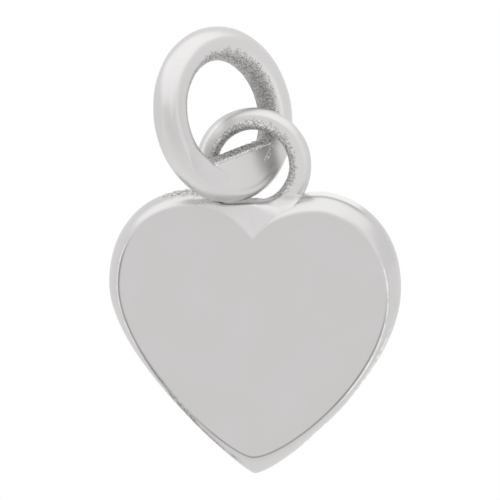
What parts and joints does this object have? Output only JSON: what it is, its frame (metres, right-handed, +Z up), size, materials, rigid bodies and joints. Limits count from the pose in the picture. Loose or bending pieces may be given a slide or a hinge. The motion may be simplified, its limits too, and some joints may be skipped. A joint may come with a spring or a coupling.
{
  "type": "heart charm",
  "caption": "Small solid silver heart charm with a flat polished face and a rolled edge, a wire eye soldered into its cleft and a loose jump ring through the eye to hang it from a chain.",
  "frame": {"origin": "the inside of the jump ring at its crown, where a chain bears", "axes": "+Z up towards the chain, +X to the right of the polished face, which looks towards -Y; the flat back looks towards +Y"},
  "size_m": [0.0101, 0.005, 0.0156],
  "materials": {
    "polished_silver": "polished sterling silver",
    "silver_solder": "silver solder, rough as it cooled and half polished"
  },
  "bodies": {
    "link": {"jump_ring": "polished_silver", "jump_ring_solder": "silver_solder"},
    "charm": {"heart_body": "polished_silver", "eye_ring": "polished_silver", "eye_solder": "silver_solder"}
  },
  "joints": [
    {"name": "charm_swing", "type": "hinge", "parent": "link", "child": "charm", "pos_m": [0.00159, 0.00056, -0.00392], "axis": [0.2706, 0, -0.9627], "range_deg": [0, 83]}
  ]
}
